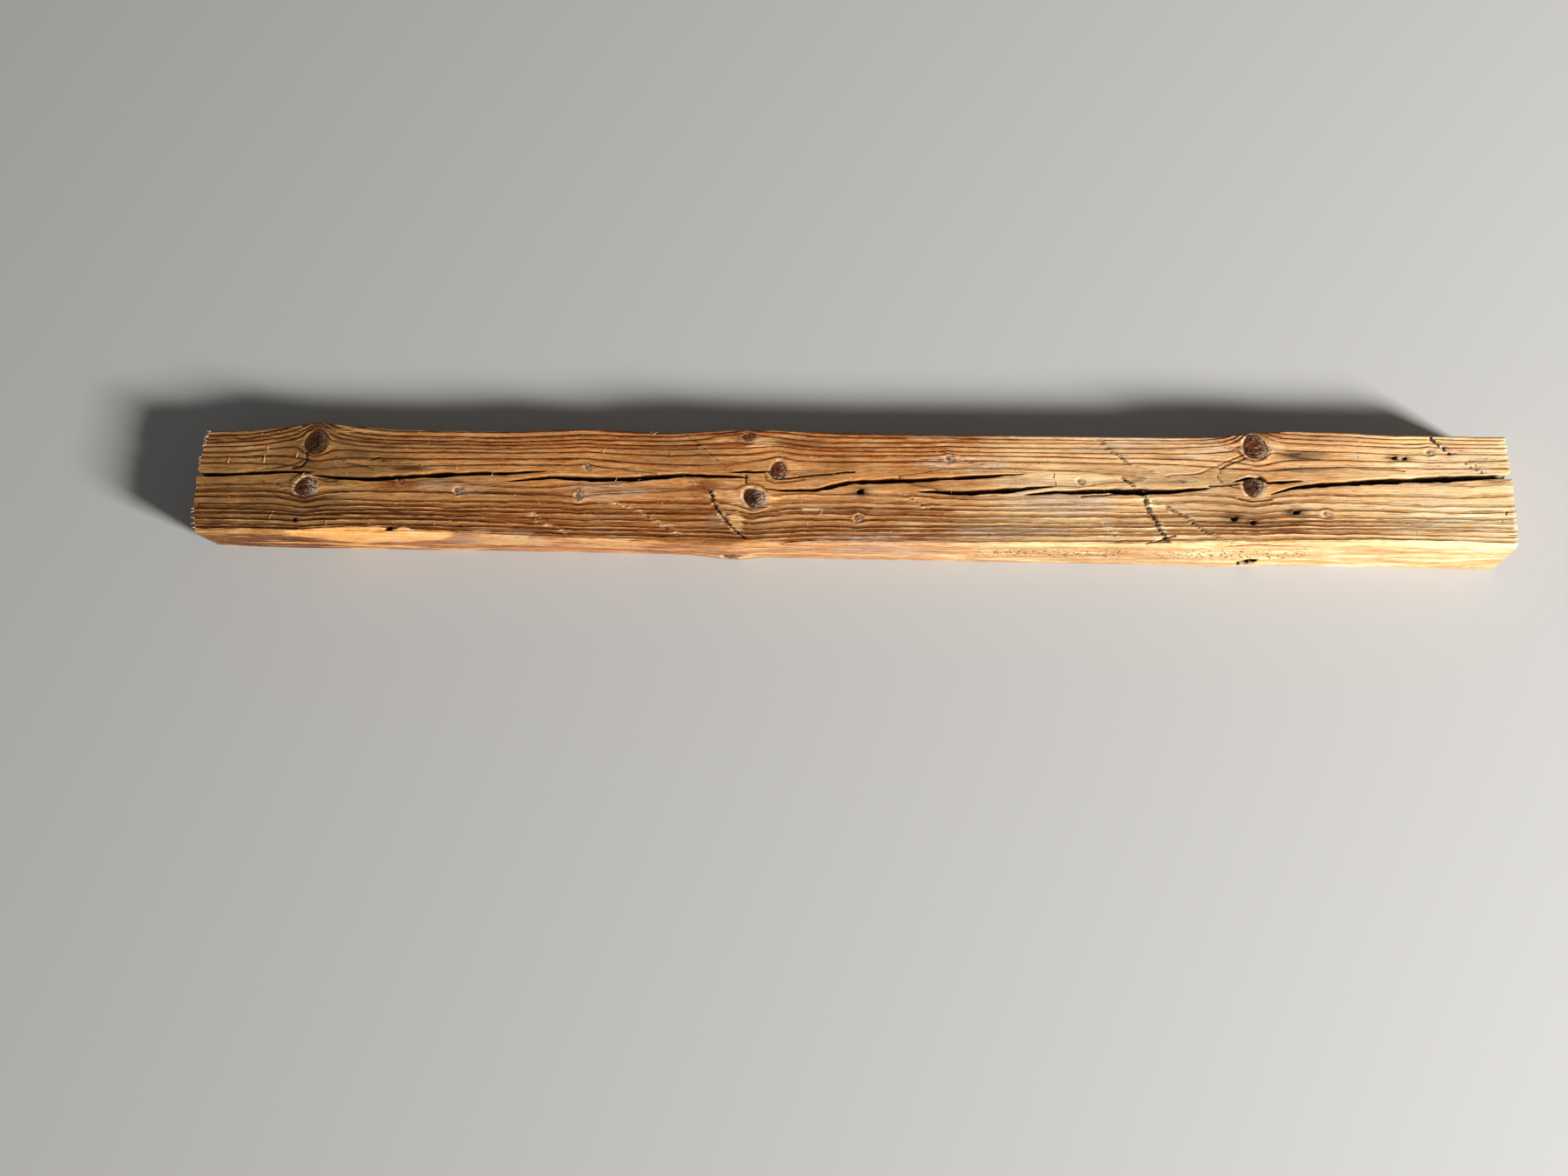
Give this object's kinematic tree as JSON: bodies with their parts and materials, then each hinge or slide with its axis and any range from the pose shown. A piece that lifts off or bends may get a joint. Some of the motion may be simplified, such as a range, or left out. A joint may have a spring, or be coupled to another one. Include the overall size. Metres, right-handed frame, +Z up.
{
  "type": "timber plank",
  "caption": "Reclaimed softwood plank with hewn wavy edges, swellings round its knots, long open drying checks and sawn ends, for shelving, lintels or cladding.",
  "frame": {"origin": "under the middle of the plank, on its flat underside", "axes": "+X along the grain from the stained end to the pale end, +Y from the front arris to the back one, +Z up out of the checked top face"},
  "size_m": [1.512, 0.1493, 0.0576],
  "materials": {
    "weathered_softwood": "reclaimed, brushed and dry: dull brown at one end, honey and straw coloured at the other, with dark rings that stand proud"
  },
  "bodies": {
    "root": {"timber_plank": "weathered_softwood"}
  },
  "joints": []
}
